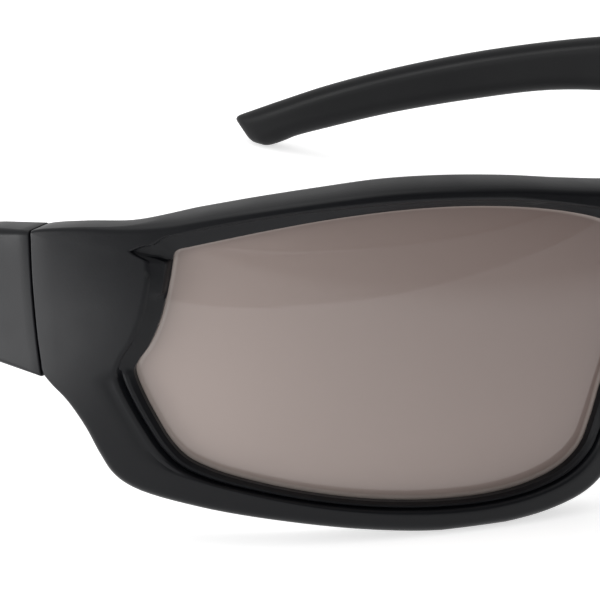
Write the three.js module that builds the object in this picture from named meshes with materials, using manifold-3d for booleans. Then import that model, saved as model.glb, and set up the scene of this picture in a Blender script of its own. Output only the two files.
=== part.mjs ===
// Wraparound safety glasses: one rigid front with two tinted lenses, two folding temples on metal
// hinges, soft nose pads and soft temple tips.
//
// Millimetres, +Z up. The wearer looks along -Y and the wearer's left side is +X. The glasses stand open
// on the bottoms of both rims and both temple tips. Every side piece is built for +X and mirrored for -X.
//
// The outer surface of the front and temples follows one path in plan. A point is given by u, the
// distance along that path from the bridge, t, the depth inward from the surface, and its height z.

import * as THREE from 'three';
import { mergeGeometries, mergeVertices } from 'three/addons/utils/BufferGeometryUtils.js';
import Module from 'manifold-3d';

const wasm = await Module();
wasm.setup();

const SMALL_SEGMENTS = 12;
// Share of a rounding's radius at the middle of its arc, taken from either face.
const ARC_MIDDLE = 0.3;
const WELD_DISTANCE = 1e-4;
const UP = new THREE.Vector3(0, 0, 1);

// Plan path: an ellipse round the face as far as the hinge, then the temple's own gentle curve.
const WRAP_HALF_WIDTH = 73.5;
const WRAP_DEPTH = 58;
const ELLIPSE_END = 90;
const PATH_END = 214;
const PATH_STEP = 0.25;
// [u, heading in degrees from +Y towards +X] along the temple; the first one is the ellipse's own.
const TEMPLE_HEADINGS = [[103, 8], [114, 1.5], [128, -4.5], [148, -9.5], [172, -13], [214, -14.5]];

// Vertical bow of the front: it leans back above and below this height.
const BOW_HEIGHT = 23.1;
const BOW_RADIUS = 95;

// Front section depths, measured inward from the outer surface.
const FRONT_THICKNESS = 5.8;
const RIM_BACK = 6;
const LIP_FRONT = 1.7;
const RIDGE_DEPTH = 0.1;
const BEVEL_DEPTH = 0.45;
const RIDGE_WIDTH = 0.3;
const BACK_ROUND = 1;
const LENS_FRONT = 2.8;
const LENS_THICKNESS = 2;
const LENS_EDGE_COVER = 1;
const LENS_CENTRE = new THREE.Vector2(40, 23);
const LENS_RINGS = [0.28, 0.55, 0.8, 1];
const GAP = 0.3;
const FLAT_BACK_START = 66;
const FLAT_BACK_END = 76;

// Rim stations in order over the brow, down the hinge side and back along the bottom to the nose:
// [lens opening u, z, bevel width, outline u, z, edge rounding].
const RIM = [
  [7.2, 32.4, 1.6, 0, 36.9, 1.2],
  [8.4, 35.8, 1.8, 0, 40.8, 1.2],
  [10.6, 37.4, 1.7, 1.4, 40.9, 1.2],
  [13.5, 38.6, 1.6, 7, 41.5, 1.1],
  [18.5, 40, 1.5, 15.5, 42.8, 1],
  [25, 41.2, 1.5, 24, 44.1, 1],
  [33, 41.95, 1.5, 33, 44.9, 1],
  [41, 41.95, 1.7, 41.5, 45, 0.9],
  [49, 41.3, 1.9, 50, 44.3, 0.8],
  [56.5, 40.15, 2, 58, 43.3, 0.8],
  [63, 38.8, 2, 65, 42.1, 0.8],
  [66.6, 37.95, 2.3, 70, 41.1, 0.9],
  [68.2, 37.5, 3, 75, 40.2, 1.1],
  [68.75, 36.9, 3.2, 81.5, 39.5, 1],
  [68.9, 36.1, 2.8, 87.1, 38.5, 0.6],
  [69.05, 35.1, 2.4, 87.95, 38.1, 0.4],
  [69.25, 33.8, 2.1, 87.8, 37, 0.3],
  [69.7, 31.4, 2, 87.3, 32.6, 0.3],
  [70.5, 28.4, 1.9, 86.85, 29.2, 0.3],
  [71.9, 25.2, 1.8, 86.4, 25.6, 0.3],
  [73.3, 23.2, 1.7, 86, 22.4, 0.4],
  [73.75, 22.1, 1.6, 85.8, 20.6, 0.6],
  [73.5, 20.9, 1.5, 84.8, 19.3, 0.8],
  [72.4, 18.4, 1.4, 82.6, 17.3, 1],
  [70.9, 15.6, 1.3, 80.3, 14.1, 1.2],
  [69.3, 13, 1.2, 78.6, 10.8, 1.3],
  [67.3, 10.9, 1.1, 76.9, 8.2, 1.3],
  [64, 9.3, 1, 74.3, 6.5, 1.3],
  [58.5, 7.7, 0.8, 66, 4.5, 1.2],
  [50, 5.85, 0.7, 54, 2.5, 1.2],
  [41, 4.5, 0.6, 43, 0.9, 1.2],
  [33, 3.9, 0.6, 34, 0, 1.2],
  [26, 3.95, 0.6, 25, 0, 1.2],
  [20.5, 4.8, 0.7, 18, 0.9, 1.2],
  [16.4, 6.4, 0.8, 13.3, 2.5, 1.2],
  [14, 8.7, 0.9, 10.9, 4.6, 1.2],
  [12.8, 12, 1, 9, 8.8, 1.2],
  [11.6, 16.5, 1.1, 7.5, 14, 1.2],
  [10, 21.5, 1.2, 6, 19.5, 1.2],
  [8.5, 26, 1.3, 3.8, 24.6, 1.2],
  [7.5, 29.2, 1.4, 1.3, 27.7, 1.2],
  [7.1, 30.6, 1.5, 0, 28, 1.2],
  [7.05, 31.4, 1.5, 0, 31.6, 1.2],
];
const RIM_STEPS = 2;
const BRIDGE_TOP = 40.8;
const BRIDGE_BOTTOM = 28;

// The seam between front and temple, as u at its lower end and the lean from there.
const SEAM_BOTTOM = 20.3;
const SEAM_START = 85.75;
const SEAM_LEAN = 0.125;
const SEAM_GAP = 0.3;

// Temple side profile: [top u, z, bottom u, z, thickness, edge rounding], from the hinge to the tip.
const TEMPLE = [
  [94.6, 37.5, 91.5, 20.5, 5.4, 1],
  [100, 36.6, 98.5, 21, 4.9, 1.1],
  [110, 34.6, 110, 21.4, 4.2, 1.2],
  [124, 31.8, 124, 21.3, 3.6, 1.3],
  [136, 29, 136, 20.4, 3.5, 1.4],
  [150, 25.5, 150, 18.1, 3.7, 1.5],
  [165, 21.2, 165, 14, 3.9, 1.6],
  [180, 16.2, 180, 9.3, 4.2, 1.7],
  [193, 11.2, 192, 4.9, 4.5, 1.8],
  [200.5, 7.9, 198.4, 2.4, 4.6, 1.8],
  [204.9, 5.9, 201.6, 0.8, 4.5, 1.7],
  [207.7, 4.6, 203.8, 0, 4.2, 1.5],
  [209.4, 3.8, 205.9, 0, 3.6, 1.1],
  [210.3, 3.1, 208, 0.9, 2.4, 0.5],
];
const TEMPLE_STEPS = 2;
const SEAM_TOP = 38.2;
const SEAM_THICKNESS = 5.8;
const SEAM_LOWER_CORNER = 20;
const SEAM_ROUND = 0.6;
const SLEEVE_ROW = 4;
const TANG_END_ROW = 7;
const SLEEVE_WALL = 0.8;
// Gaps at the sleeve's mouth and past the tang's end, in rows.
const SLEEVE_MOUTH_GAP = 0.03;
const TANG_END_GAP = 0.05;
const LEAST_FLAT = 0.05;
// Points of a quarter-round corner as shares of its radius: from the side face, from the end face.
const ARC = [[0, 1], [ARC_MIDDLE, ARC_MIDDLE], [1, 0]];
const BOW_FADE_END = 120;

// Hinge: a vertical screw through three knuckles, the middle one on the temple.
const HINGE_U = 89;
const HINGE_DEPTH = 8.2;
const HINGE_HEIGHTS = [23, 26.9, 27.2, 30.8, 31.1, 35];
const KNUCKLE_RADIUS = 1.5;
const KNUCKLE_BORE = 0.95;
const HINGE_SCREW_RADIUS = 0.65;
const HINGE_HEAD_RADIUS = 1.3;
const HINGE_HEAD_HEIGHT = 1;
const FRONT_LEAF_U = 83;
const TEMPLE_LEAF_U = 95;
const LEAF_HALF_LENGTH = 3.8;
const LEAF_LIFT = 0.6;
const LEAF_THICKNESS = 1;
const LEAF_SCREW_HEIGHTS = { lower: 26, upper: 32 };
const LEAF_SCREW_OFFSET = 1.4;
const LEAF_SCREW_RADIUS = 0.6;
const LEAF_HEAD_RADIUS = 1.15;
const LEAF_HEAD_HEIGHT = 0.7;
const LEAF_SCREW_REACH = 2.8;
const HEAD_DOME_SHARE = 0.6;
const DRILL_OVERRUN = 1;

// Nose pad: an oval pad on a lug behind the nose side of each rim.
const PAD_CENTRE = new THREE.Vector3(9.2, 11.4, 13.8);
const PAD_DEPTH_AXIS = new THREE.Vector3(0.45, 0.89, 0).normalize();
const PAD_HEIGHT_AXIS = new THREE.Vector3(-0.22, 0.111, 0.97).normalize();
const PAD_HALF_HEIGHT = 8;
const PAD_HALF_DEPTH = 4.2;
const PAD_THICKNESS = 2.2;
const PAD_ROUND = 0.8;
const LUG_THICKNESS = 2;
const LUG_HALF_HEIGHT = 2.8;
const LUG_FRONT = -5.6;
const LUG_BACK = 0.8;
const PEG_RADIUS = 0.9;
const PEG_PLACE = -1.6;
const PEG_LENGTH = 1.6;


const frameNylon = (name) => new THREE.MeshStandardMaterial({ name, color: 0x1d1e20, roughness: 0.55 });
const softRubber = (name) => new THREE.MeshStandardMaterial({ name, color: 0x17181a, roughness: 0.85 });
const hingeSteel = (name) => new THREE.MeshStandardMaterial({
  name, color: 0x8d9094, roughness: 0.35, metalness: 1,
});
const smokeLens = (name) => new THREE.MeshStandardMaterial({
  name, color: 0x6f625d, roughness: 0.08, transparent: true, opacity: 0.75,
});

// --- The plan path ---

function ellipseHeading(angle) {
  return Math.atan2(WRAP_HALF_WIDTH * Math.cos(angle), WRAP_DEPTH * Math.sin(angle));
}

function templeHeading(u, startHeading) {
  const stops = [[ELLIPSE_END, startHeading], ...TEMPLE_HEADINGS.map(
    ([at, degrees]) => [at, THREE.MathUtils.degToRad(degrees)])];
  const next = Math.max(1, stops.findIndex(([at]) => at >= u));
  const [fromU, fromHeading] = stops[next - 1];
  const [toU, toHeading] = stops[next];
  return THREE.MathUtils.mapLinear(u, fromU, toU, fromHeading, toHeading);
}

function makePath() {
  const path = [];
  let angle = 0;
  let x = 0;
  let y = 0;
  let heading = Math.PI / 2;
  let ellipseEndHeading = heading;
  for (let u = 0; u <= PATH_END; u += PATH_STEP) {
    path.push({ x, y, heading });
    if (u < ELLIPSE_END) {
      const speed = Math.hypot(WRAP_HALF_WIDTH * Math.cos(angle), WRAP_DEPTH * Math.sin(angle));
      const middle = angle + PATH_STEP / speed / 2;
      angle += PATH_STEP / Math.hypot(WRAP_HALF_WIDTH * Math.cos(middle), WRAP_DEPTH * Math.sin(middle));
      x = WRAP_HALF_WIDTH * Math.sin(angle);
      y = WRAP_DEPTH * (1 - Math.cos(angle));
      heading = ellipseHeading(angle);
      ellipseEndHeading = heading;
    } else {
      const middle = templeHeading(u + PATH_STEP / 2, ellipseEndHeading);
      x += PATH_STEP * Math.sin(middle);
      y += PATH_STEP * Math.cos(middle);
      heading = templeHeading(u + PATH_STEP, ellipseEndHeading);
    }
  }
  return path;
}

const PATH = makePath();

function pathAt(u) {
  const place = THREE.MathUtils.clamp(u / PATH_STEP, 0, PATH.length - 1.001);
  const index = Math.floor(place);
  const share = place - index;
  const mix = (key) => THREE.MathUtils.lerp(PATH[index][key], PATH[index + 1][key], share);
  return { x: mix('x'), y: mix('y'), heading: mix('heading') };
}

function offPath(u, depth, z) {
  const { x, y, heading } = pathAt(u);
  return new THREE.Vector3(x - Math.cos(heading) * depth, y + Math.sin(heading) * depth, z);
}

function bow(z) {
  return (z - BOW_HEIGHT) ** 2 / (2 * BOW_RADIUS);
}

function onFront(u, depth, z) {
  return offPath(u, depth + bow(z), z);
}

// --- Meshes and solids ---

function meshFrom(points, triangles) {
  const geometry = new THREE.BufferGeometry();
  geometry.setAttribute('position', new THREE.Float32BufferAttribute(points.flatMap((p) => p.toArray()), 3));
  geometry.setIndex(triangles.flat());
  return facingOut(welded(geometry));
}

function welded(geometry) {
  const bare = geometry.index ? geometry.clone() : geometry.clone().setIndex(
    [...Array(geometry.attributes.position.count).keys()]);
  bare.deleteAttribute('normal');
  bare.deleteAttribute('uv');
  const merged = mergeVertices(bare, WELD_DISTANCE);
  const index = merged.index.array;
  const kept = [];
  for (let i = 0; i < index.length; i += 3) {
    const [a, b, c] = index.slice(i, i + 3);
    if (a !== b && b !== c && c !== a) kept.push(a, b, c);
  }
  merged.setIndex(kept);
  return merged;
}

function volumeOf(geometry) {
  const position = geometry.attributes.position;
  const index = geometry.index.array;
  const corner = (i) => new THREE.Vector3().fromBufferAttribute(position, index[i]);
  let volume = 0;
  for (let i = 0; i < index.length; i += 3) {
    volume += corner(i).dot(corner(i + 1).cross(corner(i + 2))) / 6;
  }
  return volume;
}

function flipped(geometry) {
  const turned = geometry.clone();
  const index = turned.index.array;
  for (let i = 0; i < index.length; i += 3) {
    [index[i], index[i + 1]] = [index[i + 1], index[i]];
  }
  return turned;
}

function facingOut(geometry) {
  return volumeOf(geometry) < 0 ? flipped(geometry) : geometry;
}

function mirrored(geometry) {
  return flipped(geometry.clone().scale(-1, 1, 1));
}

function solid(geometry) {
  const clean = welded(geometry);
  return new wasm.Manifold(new wasm.Mesh({
    numProp: 3,
    vertProperties: new Float32Array(clean.attributes.position.array),
    triVerts: new Uint32Array(clean.index.array),
  }));
}

function geometryOf(manifold) {
  const { vertProperties, triVerts } = manifold.getMesh();
  const geometry = new THREE.BufferGeometry();
  geometry.setAttribute('position', new THREE.Float32BufferAttribute(vertProperties, 3));
  geometry.setIndex([...triVerts]);
  return geometry;
}

function middleOf(loop) {
  return loop.reduce((sum, point) => sum.add(point), new THREE.Vector3()).divideScalar(loop.length);
}

// A skin over loops of equal length, with each end closed by a fan round a hub.
function lofted(loops, hubs = [middleOf(loops[0]), middleOf(loops.at(-1))]) {
  const count = loops[0].length;
  const triangles = [];
  for (let i = 0; i < loops.length - 1; i++) {
    for (let k = 0; k < count; k++) {
      const a = i * count + k;
      const b = i * count + (k + 1) % count;
      triangles.push([a, b, a + count], [b, b + count, a + count]);
    }
  }
  const [firstHub, lastHub] = [loops.length * count, loops.length * count + 1];
  const lastLoop = (loops.length - 1) * count;
  for (let k = 0; k < count; k++) {
    const next = (k + 1) % count;
    triangles.push([firstHub, next, k], [lastHub, lastLoop + k, lastLoop + next]);
  }
  return meshFrom([...loops.flat(), ...hubs], triangles);
}

function rod(start, direction, radius, length) {
  const geometry = new THREE.CylinderGeometry(radius, radius, length, SMALL_SEGMENTS);
  geometry.translate(0, length / 2, 0);
  geometry.applyQuaternion(new THREE.Quaternion().setFromUnitVectors(new THREE.Vector3(0, 1, 0), direction));
  return geometry.translate(start.x, start.y, start.z);
}

// A screw turned round its axis: shank from start along direction, then a low domed head.
function screw(start, direction, shankRadius, shankLength, headRadius, headHeight) {
  const shoulder = shankLength + headHeight * HEAD_DOME_SHARE;
  const top = shankLength + headHeight;
  const profile = [
    [0, 0], [shankRadius, 0], [shankRadius, shankLength], [headRadius, shankLength],
    [headRadius, shoulder], [headRadius * HEAD_DOME_SHARE, top], [0, top],
  ].map(([r, h]) => new THREE.Vector2(r, h));
  const geometry = new THREE.LatheGeometry(profile, SMALL_SEGMENTS);
  geometry.applyQuaternion(new THREE.Quaternion().setFromUnitVectors(new THREE.Vector3(0, 1, 0), direction));
  return facingOut(welded(geometry.translate(start.x, start.y, start.z)));
}

function standingPlate(corners, bottom, top) {
  const shape = new THREE.Shape(corners.map(({ x, y }) => new THREE.Vector2(x, y)));
  const geometry = new THREE.ExtrudeGeometry(shape, { depth: top - bottom, bevelEnabled: false });
  return facingOut(welded(geometry.translate(0, 0, bottom)));
}

// --- Front frame and lens ---

const OPENING = new THREE.CatmullRomCurve3(
  RIM.map(([u, z, bevel]) => new THREE.Vector3(u, z, bevel)), true, 'centripetal');
const OUTLINE = new THREE.CatmullRomCurve3(
  RIM.map((row) => new THREE.Vector3(row[3], row[4], row[5])), true, 'centripetal');
const STATIONS = RIM.length * RIM_STEPS;

function station(curve, index) {
  const point = curve.getPoint((index + STATIONS) % STATIONS / STATIONS);
  point.x = Math.max(0, point.x);
  point.y = Math.max(0, point.y);
  return point;
}

function outwardAt(curve, index) {
  const along = station(curve, index + 1).sub(station(curve, index - 1));
  return new THREE.Vector2(-along.y, along.x).normalize();
}

// Depth of the back face; share runs from the outline to the lens. By the hinge the back is upright.
function backDepth(at, share) {
  const upright = THREE.MathUtils.smoothstep(at.x, FLAT_BACK_START, FLAT_BACK_END);
  return THREE.MathUtils.lerp(FRONT_THICKNESS, RIM_BACK, share) - upright * bow(at.y);
}

function rimSection(index) {
  const opening = station(OPENING, index);
  const outline = station(OUTLINE, index);
  const fromLens = outwardAt(OPENING, index);
  const toLens = outwardAt(OUTLINE, index).negate();
  const bevel = opening.z;
  const rounding = outline.z;
  const nearOpening = (offset) => new THREE.Vector2(opening.x, opening.y).addScaledVector(fromLens, offset);
  const nearOutline = (offset) => {
    if (outline.x === 0) {
      const level = THREE.MathUtils.clamp(outline.y, BRIDGE_BOTTOM + offset, BRIDGE_TOP - offset);
      return new THREE.Vector2(0, level);
    }
    return new THREE.Vector2(outline.x, outline.y).addScaledVector(toLens, offset);
  };
  const place = (at, depth) => onFront(at.x, depth, at.y);
  const ridge = nearOpening(bevel + RIDGE_WIDTH);
  const frontEdge = nearOutline(rounding);
  const backEdge = nearOutline(BACK_ROUND);
  const backInner = nearOpening(0);
  const wall = nearOutline(0);
  const wallBack = backDepth(wall, 0);
  const back = (share) => {
    const at = backEdge.clone().lerp(backInner, share);
    return place(at, backDepth(at, share));
  };
  return [
    place(nearOpening(0), LENS_FRONT - GAP),
    place(nearOpening(0), LIP_FRONT),
    place(nearOpening(bevel), BEVEL_DEPTH),
    place(ridge, RIDGE_DEPTH),
    place(ridge.clone().lerp(frontEdge, 1 / 3), 0),
    place(ridge.clone().lerp(frontEdge, 2 / 3), 0),
    place(frontEdge, 0),
    place(nearOutline(rounding * ARC_MIDDLE), rounding * ARC_MIDDLE),
    place(wall, rounding),
    place(wall, wallBack - BACK_ROUND),
    place(nearOutline(BACK_ROUND * ARC_MIDDLE), wallBack - BACK_ROUND * ARC_MIDDLE),
    back(0),
    back(1 / 3),
    back(2 / 3),
    back(1),
    place(backInner, LENS_FRONT + LENS_THICKNESS + GAP),
    place(nearOpening(LENS_EDGE_COVER + GAP), LENS_FRONT + LENS_THICKNESS + GAP),
    place(nearOpening(LENS_EDGE_COVER + GAP), LENS_FRONT - GAP),
  ];
}

// Half of the front, open where it meets its mirror image on the plane x = 0.
function halfFront() {
  const loops = Array.from({ length: STATIONS }, (_, index) => rimSection(index));
  const count = loops[0].length;
  const points = loops.flat();
  const triangles = [];
  for (let i = 0; i < STATIONS; i++) {
    const following = (i + 1) % STATIONS;
    for (let k = 0; k < count; k++) {
      const next = (k + 1) % count;
      const quad = [i * count + k, i * count + next, following * count + k, following * count + next];
      for (const triangle of [[quad[0], quad[1], quad[2]], [quad[1], quad[3], quad[2]]]) {
        if (triangle.some((corner) => points[corner].x > WELD_DISTANCE)) triangles.push(triangle);
      }
    }
  }
  return { points, triangles };
}

function rimPair() {
  const { points, triangles } = halfFront();
  const half = new THREE.BufferGeometry();
  half.setAttribute('position', new THREE.Float32BufferAttribute(points.flatMap((p) => p.toArray()), 3));
  half.setIndex(triangles.flat());
  return facingOut(welded(mergeGeometries([half, mirrored(half)])));
}

function lensGeometry() {
  const outline = RIM.map((_, row) => {
    const at = station(OPENING, row * RIM_STEPS);
    const outward = outwardAt(OPENING, row * RIM_STEPS);
    return new THREE.Vector2(at.x, at.y).addScaledVector(outward, LENS_EDGE_COVER);
  });
  const ring = (share, depth) => outline.map((at) => {
    const place = LENS_CENTRE.clone().lerp(at, share);
    return onFront(place.x, depth, place.y);
  });
  const back = LENS_FRONT + LENS_THICKNESS;
  const loops = [
    ...LENS_RINGS.map((share) => ring(share, LENS_FRONT)),
    ...LENS_RINGS.toReversed().map((share) => ring(share, back)),
  ];
  return lofted(loops, [LENS_FRONT, back].map((depth) => onFront(LENS_CENTRE.x, depth, LENS_CENTRE.y)));
}

// --- Nose pad and its lug ---

const PAD_OUTWARD = PAD_DEPTH_AXIS.clone().cross(PAD_HEIGHT_AXIS).normalize();

function onPad(depthwise, upward, outward) {
  return PAD_CENTRE.clone()
    .addScaledVector(PAD_DEPTH_AXIS, depthwise)
    .addScaledVector(PAD_HEIGHT_AXIS, upward)
    .addScaledVector(PAD_OUTWARD, outward);
}

function padPlacement() {
  const upright = PAD_OUTWARD.clone().cross(PAD_DEPTH_AXIS);
  return new THREE.Matrix4().makeBasis(PAD_DEPTH_AXIS, upright, PAD_OUTWARD).setPosition(PAD_CENTRE);
}

function lugGeometry() {
  const geometry = new THREE.BoxGeometry(LUG_BACK - LUG_FRONT, 2 * LUG_HALF_HEIGHT, LUG_THICKNESS);
  const stand = PAD_THICKNESS / 2 + GAP + LUG_THICKNESS / 2;
  geometry.translate((LUG_BACK + LUG_FRONT) / 2, 0, stand);
  return geometry.applyMatrix4(padPlacement());
}

function pegRod(radius, length) {
  return rod(onPad(PEG_PLACE, 0, PAD_THICKNESS / 4), PAD_OUTWARD, radius, length);
}

function nosePadGeometry() {
  const oval = new THREE.Shape().absellipse(
    0, 0, PAD_HALF_DEPTH - PAD_ROUND, PAD_HALF_HEIGHT - PAD_ROUND, 0, 2 * Math.PI);
  const pad = new THREE.ExtrudeGeometry(oval, {
    depth: PAD_THICKNESS - 2 * PAD_ROUND,
    bevelThickness: PAD_ROUND,
    bevelSize: PAD_ROUND,
    bevelSegments: 2,
    curveSegments: SMALL_SEGMENTS,
  });
  pad.translate(0, 0, PAD_ROUND - PAD_THICKNESS / 2);
  pad.applyMatrix4(padPlacement());
  const peg = pegRod(PEG_RADIUS, PAD_THICKNESS / 4 + GAP + PEG_LENGTH);
  return geometryOf(solid(pad).add(solid(peg)));
}

// --- Temple ---

function seamU(z) {
  return SEAM_START + SEAM_LEAN * (z - SEAM_BOTTOM);
}

function templePoint(u, depth, z, flatness) {
  const fade = 1 - THREE.MathUtils.smoothstep(u, ELLIPSE_END, BOW_FADE_END);
  return offPath(u, depth + bow(z) * fade * flatness, z);
}

// A rounded rectangle from a bottom point to a top point, in order round the temple. inset shrinks it on
// every side and seamShare blends its place along the temple from the row's own to the seam's.
function templeLoop(top, bottom, inset, seamShare) {
  const thickness = (top.thickness + bottom.thickness) / 2;
  const rounding = Math.min(top.rounding, thickness / 2 - inset - LEAST_FLAT);
  const at = (depth, z) => {
    const level = THREE.MathUtils.mapLinear(z, bottom.z, top.z, bottom.u, top.u);
    const u = THREE.MathUtils.lerp(level, seamU(z) + SEAM_GAP, seamShare);
    return templePoint(u, depth, z, 1 - THREE.MathUtils.clamp(depth / thickness, 0, 1));
  };
  const corner = (depth, z, inward, upward) => ARC.map(([fromSide, fromEnd]) => (
    at(depth + inward * fromSide * rounding, z + upward * fromEnd * rounding)));
  const [outer, inner] = [inset, thickness - inset];
  const [low, high] = [bottom.z + inset, top.z - inset];
  const side = (depth, from, to) => [1 / 3, 2 / 3].map(
    (share) => at(depth, THREE.MathUtils.lerp(from, to, share)));
  return [
    ...corner(outer, high, 1, -1),
    ...corner(inner, high, -1, -1).toReversed(),
    ...side(inner, high - rounding, low + rounding),
    ...corner(inner, low, -1, 1),
    ...corner(outer, low, 1, 1).toReversed(),
    ...side(outer, low + rounding, high - rounding),
  ];
}

function templeCurve(columns) {
  return new THREE.CatmullRomCurve3(
    TEMPLE.map((row) => new THREE.Vector3(...columns.map((column) => row[column]))), false, 'centripetal');
}

const TEMPLE_TOP = templeCurve([0, 1, 4]);
const TEMPLE_BOTTOM = templeCurve([2, 3, 4]);

function templeRow(place, inset) {
  const share = place / (TEMPLE.length - 1);
  const top = TEMPLE_TOP.getPoint(share);
  const bottom = TEMPLE_BOTTOM.getPoint(share);
  const row = Math.min(Math.floor(place), TEMPLE.length - 2);
  const rounding = THREE.MathUtils.lerp(TEMPLE[row][5], TEMPLE[row + 1][5], place - row);
  return templeLoop(
    { u: top.x, z: top.y, thickness: top.z, rounding },
    { u: bottom.x, z: Math.max(0, bottom.y), thickness: bottom.z }, inset, 0);
}

function rows(first, last, inset) {
  const count = Math.round((last - first) * TEMPLE_STEPS);
  return Array.from({ length: count + 1 }, (_, step) => templeRow(first + step / TEMPLE_STEPS, inset));
}

function seamLoop() {
  return templeLoop(
    { z: SEAM_TOP, u: seamU(SEAM_TOP), thickness: SEAM_THICKNESS, rounding: SEAM_ROUND },
    { z: SEAM_LOWER_CORNER, u: seamU(SEAM_BOTTOM), thickness: SEAM_THICKNESS }, 0, 1);
}

function templeArmGeometry() {
  return lofted([
    seamLoop(), ...rows(0, SLEEVE_ROW, 0), ...rows(SLEEVE_ROW, TANG_END_ROW, SLEEVE_WALL + GAP),
  ]);
}

// The soft tip: its cavity from the blind end to the mouth, then its outside from the mouth to the tip.
function templeTipGeometry() {
  const mouth = SLEEVE_ROW + SLEEVE_MOUTH_GAP;
  return lofted([
    templeRow(TANG_END_ROW + TANG_END_GAP, SLEEVE_WALL),
    ...rows(SLEEVE_ROW + 1, TANG_END_ROW, SLEEVE_WALL).toReversed(),
    templeRow(mouth, SLEEVE_WALL),
    templeRow(mouth, 0),
    ...rows(SLEEVE_ROW + 1, TEMPLE.length - 1, 0),
  ]);
}

// --- Hinge ---

const HINGE_AXIS = offPath(HINGE_U, HINGE_DEPTH, 0);

// Plan directions of a leaf: back along the path and inward from it, at the leaf's middle.
function leafFrame(u) {
  const { heading } = pathAt(u);
  return {
    seat: offPath(u, FRONT_THICKNESS, 0),
    back: new THREE.Vector3(Math.sin(heading), Math.cos(heading), 0),
    inward: new THREE.Vector3(-Math.cos(heading), Math.sin(heading), 0),
  };
}

function onLeaf(frame, along, lift, z) {
  return frame.seat.clone().setZ(z).addScaledVector(frame.back, along).addScaledVector(frame.inward, lift);
}

function leafStrip(frame, start, end, bottom, top) {
  const lift = LEAF_LIFT + LEAF_THICKNESS;
  const corners = [
    onLeaf(frame, start, LEAF_LIFT, 0), onLeaf(frame, end, LEAF_LIFT, 0),
    onLeaf(frame, end, lift, 0), onLeaf(frame, start, lift, 0),
  ];
  return solid(standingPlate(corners, bottom, top));
}

function leafScrewPlaces(frame, side) {
  const along = side * LEAF_SCREW_OFFSET;
  return Object.entries(LEAF_SCREW_HEIGHTS).map(
    ([level, z]) => [level, onLeaf(frame, along, -LEAF_SCREW_REACH, z)]);
}

// side is -1 for the leaf on the front, whose plate runs forward, and 1 for the one on the temple.
function hingeLeaf(frame, side, heights) {
  const reach = HINGE_AXIS.clone().sub(frame.seat).dot(frame.back);
  const bottom = HINGE_HEIGHTS[0];
  const top = HINGE_HEIGHTS.at(-1);
  let leaf = leafStrip(frame, -LEAF_HALF_LENGTH, LEAF_HALF_LENGTH, bottom, top);
  for (const [low, high] of heights) {
    const neck = leafStrip(frame, Math.min(reach, 0), Math.max(reach, 0), low, high);
    const knuckle = rod(HINGE_AXIS.clone().setZ(low), UP, KNUCKLE_RADIUS, high - low);
    leaf = leaf.add(neck).add(solid(knuckle));
  }
  const boreStart = HINGE_AXIS.clone().setZ(bottom - DRILL_OVERRUN);
  leaf = leaf.subtract(solid(rod(boreStart, UP, KNUCKLE_BORE, top - bottom + 2 * DRILL_OVERRUN)));
  for (const [, start] of leafScrewPlaces(frame, side)) {
    leaf = leaf.subtract(solid(rod(start, frame.inward, LEAF_SCREW_RADIUS + GAP, 2 * LEAF_SCREW_REACH)));
  }
  return geometryOf(leaf);
}

function leafScrew(start, frame) {
  const shank = LEAF_SCREW_REACH + LEAF_LIFT + LEAF_THICKNESS + GAP;
  return screw(start, frame.inward, LEAF_SCREW_RADIUS, shank, LEAF_HEAD_RADIUS, LEAF_HEAD_HEIGHT);
}

function hingeScrewGeometry() {
  const start = HINGE_AXIS.clone().setZ(HINGE_HEIGHTS[0]);
  const length = HINGE_HEIGHTS.at(-1) - HINGE_HEIGHTS[0] + GAP;
  return screw(start, UP, HINGE_SCREW_RADIUS, length, HINGE_HEAD_RADIUS, HINGE_HEAD_HEIGHT);
}

function screwHoles(frame, side) {
  return leafScrewPlaces(frame, side).map(([, start]) => {
    const bottom = start.clone().addScaledVector(frame.inward, -GAP);
    return rod(bottom, frame.inward, LEAF_SCREW_RADIUS + GAP, LEAF_SCREW_REACH + GAP + LEAF_LIFT);
  });
}

// --- Assembly ---

const FRONT_LEAF = leafFrame(FRONT_LEAF_U);
const TEMPLE_LEAF = leafFrame(TEMPLE_LEAF_U);

function withMirror(geometry) {
  const left = welded(geometry);
  return solid(left).add(solid(mirrored(left)));
}

function frontFrameGeometry() {
  const pegHole = pegRod(PEG_RADIUS + GAP, PAD_THICKNESS / 4 + 2 * GAP + PEG_LENGTH);
  return geometryOf([pegHole, ...screwHoles(FRONT_LEAF, -1)].reduce(
    (frame, hole) => frame.subtract(withMirror(hole)), solid(rimPair()).add(withMirror(lugGeometry()))));
}

function drilledTempleArm() {
  return geometryOf(screwHoles(TEMPLE_LEAF, 1).reduce(
    (arm, hole) => arm.subtract(solid(hole)), solid(templeArmGeometry())));
}

function leftSidePieces() {
  const [lowerStart, lowerEnd, middleStart, middleEnd, upperStart, upperEnd] = HINGE_HEIGHTS;
  const frontKnuckles = [[lowerStart, lowerEnd], [upperStart, upperEnd]];
  const pieces = {
    lens: [lensGeometry(), smokeLens],
    nose_pad: [nosePadGeometry(), softRubber],
    temple_arm: [drilledTempleArm(), frameNylon],
    temple_tip: [templeTipGeometry(), softRubber],
    front_hinge_leaf: [hingeLeaf(FRONT_LEAF, -1, frontKnuckles), hingeSteel],
    temple_hinge_leaf: [hingeLeaf(TEMPLE_LEAF, 1, [[middleStart, middleEnd]]), hingeSteel],
    hinge_screw: [hingeScrewGeometry(), hingeSteel],
  };
  for (const [place, frame, side] of [['front', FRONT_LEAF, -1], ['temple', TEMPLE_LEAF, 1]]) {
    for (const [level, start] of leafScrewPlaces(frame, side)) {
      pieces[`${place}_leaf_screw_${level}`] = [leafScrew(start, frame), hingeSteel];
    }
  }
  return pieces;
}

function namedMesh(name, geometry, material) {
  const mesh = new THREE.Mesh(geometry, material(name));
  mesh.name = name;
  return mesh;
}

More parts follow.
